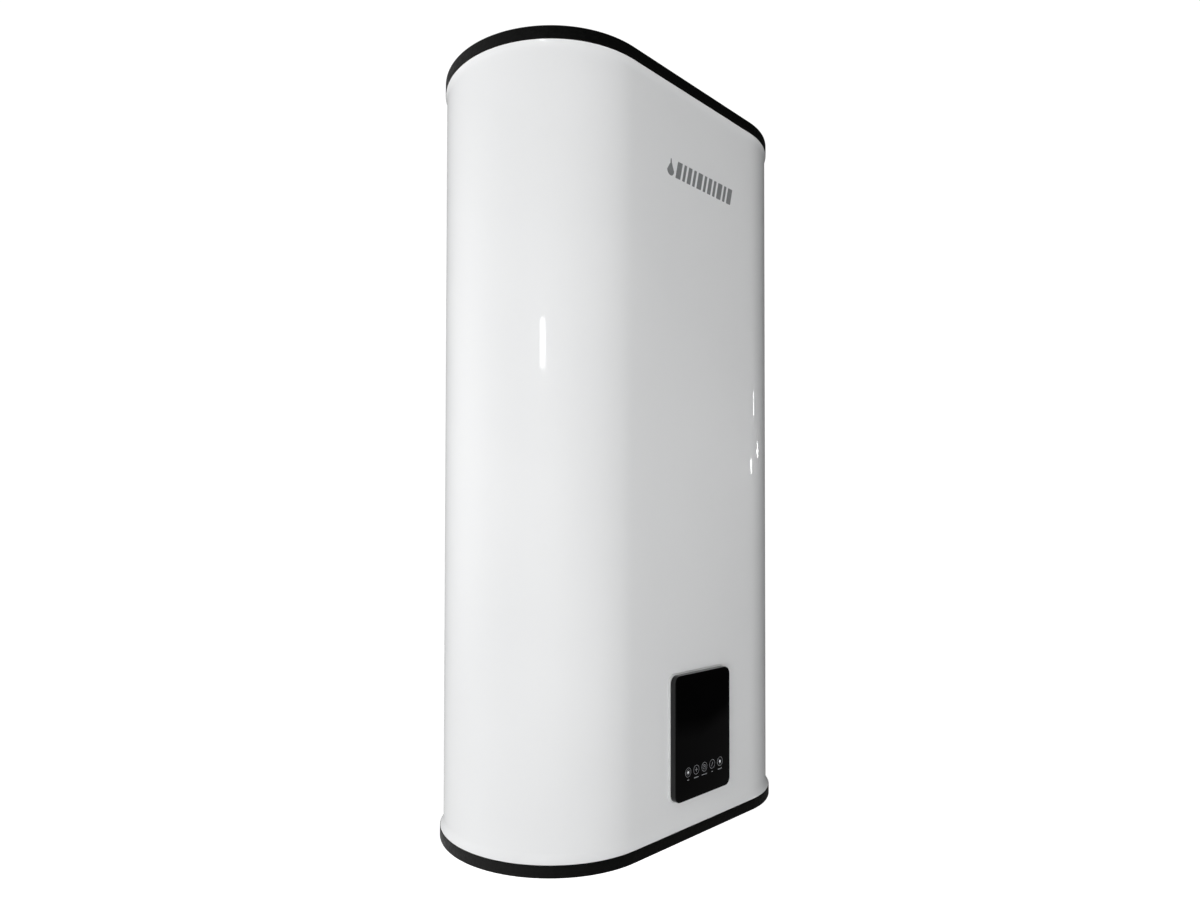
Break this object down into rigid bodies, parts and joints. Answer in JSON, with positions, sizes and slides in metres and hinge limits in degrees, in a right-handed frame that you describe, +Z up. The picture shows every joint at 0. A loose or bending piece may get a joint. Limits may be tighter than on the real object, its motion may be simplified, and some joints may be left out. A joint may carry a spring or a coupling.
{
  "type": "tank water heater",
  "caption": "Wall-hung flat electric storage water heater: white obround steel body, black end caps, black touch panel low on the front, two insulated tanks inside.",
  "frame": {"origin": "on the wall, at the middle of the upper bracket's wall face", "axes": "+Z up, -Y to the front with the touch panel, +Y into the wall, +X to the right as seen from the front"},
  "size_m": [0.478, 0.274, 0.883],
  "materials": {
    "white_enamel": "gloss",
    "black_cap_plastic": "fine grain, satin",
    "gloss_black_lens": "high gloss",
    "white_plastic": "satin",
    "grey_plastic": "satin",
    "rigid_foam": "matt",
    "black_rubber": "matt",
    "circuit_board": "satin",
    "red_plastic": "satin",
    "blue_plastic": "satin",
    "zinc_steel": "zinc plated",
    "magnesium": "cast",
    "copper": "drawn, satin",
    "stainless_steel": "satin"
  },
  "bodies": {
    "heater": {"bottom_cap": "black_cap_plastic", "cable_gland": "black_rubber", "capillary_sensor": "copper", "cold_collar": "blue_plastic", "cold_inlet_pipe": "stainless_steel", "display_board": "circuit_board", "display_cable": "black_rubber", "foam_insulation": "rigid_foam", "hot_collar": "red_plastic", "hot_outlet_pipe": "stainless_steel", "inlet_diffuser": "white_plastic", "left_anode_rod": "magnesium", "left_flange": "zinc_steel", "left_flange_gasket": "black_rubber", "left_flange_nut_1": "zinc_steel", "left_flange_nut_2": "zinc_steel", "left_flange_nut_3": "zinc_steel", "left_flange_nut_4": "zinc_steel", "left_heating_element": "copper", "left_tank_barrel": "stainless_steel", "left_tank_bottom_dome": "stainless_steel", "left_tank_top_dome": "stainless_steel", "left_thermowell": "copper", "lower_bracket": "zinc_steel", "lower_bracket_bolt_left": "zinc_steel", "lower_bracket_bolt_right": "zinc_steel", "lower_tie_plate": "zinc_steel", "outer_jacket": "white_enamel", "panel_bezel": "white_plastic", "panel_box": "grey_plastic", "panel_lens": "gloss_black_lens", "power_board": "circuit_board", "power_tray": "grey_plastic", "reset_spring": "zinc_steel", "right_anode_rod": "magnesium", "right_flange": "zinc_steel", "right_flange_gasket": "black_rubber", "right_flange_nut_1": "zinc_steel", "right_flange_nut_2": "zinc_steel", "right_flange_nut_3": "zinc_steel", "right_flange_nut_4": "zinc_steel", "right_heating_element": "copper", "right_tank_barrel": "stainless_steel", "right_tank_bottom_dome": "stainless_steel", "right_tank_top_dome": "stainless_steel", "right_thermowell": "copper", "service_cover": "black_cap_plastic", "service_cover_screw_back": "zinc_steel", "service_cover_screw_front": "zinc_steel", "service_cover_screw_left": "zinc_steel", "service_cover_screw_right": "zinc_steel", "thermal_cutout": "black_rubber", "top_cap": "black_cap_plastic", "touch_light_guide": "white_plastic", "transfer_pipe": "stainless_steel", "upper_bracket": "zinc_steel", "upper_bracket_bolt_left": "zinc_steel", "upper_bracket_bolt_right": "zinc_steel", "upper_tie_plate": "zinc_steel"},
    "reset_button": {"reset_button": "red_plastic"}
  },
  "joints": [
    {"name": "reset_press", "type": "slide", "parent": "heater", "child": "reset_button", "axis": [0, 0, 1], "range_m": [0, 0.002], "stiffness_N_per_m": 300, "springref_m": -0.004, "deforming": ["reset_spring"]}
  ]
}
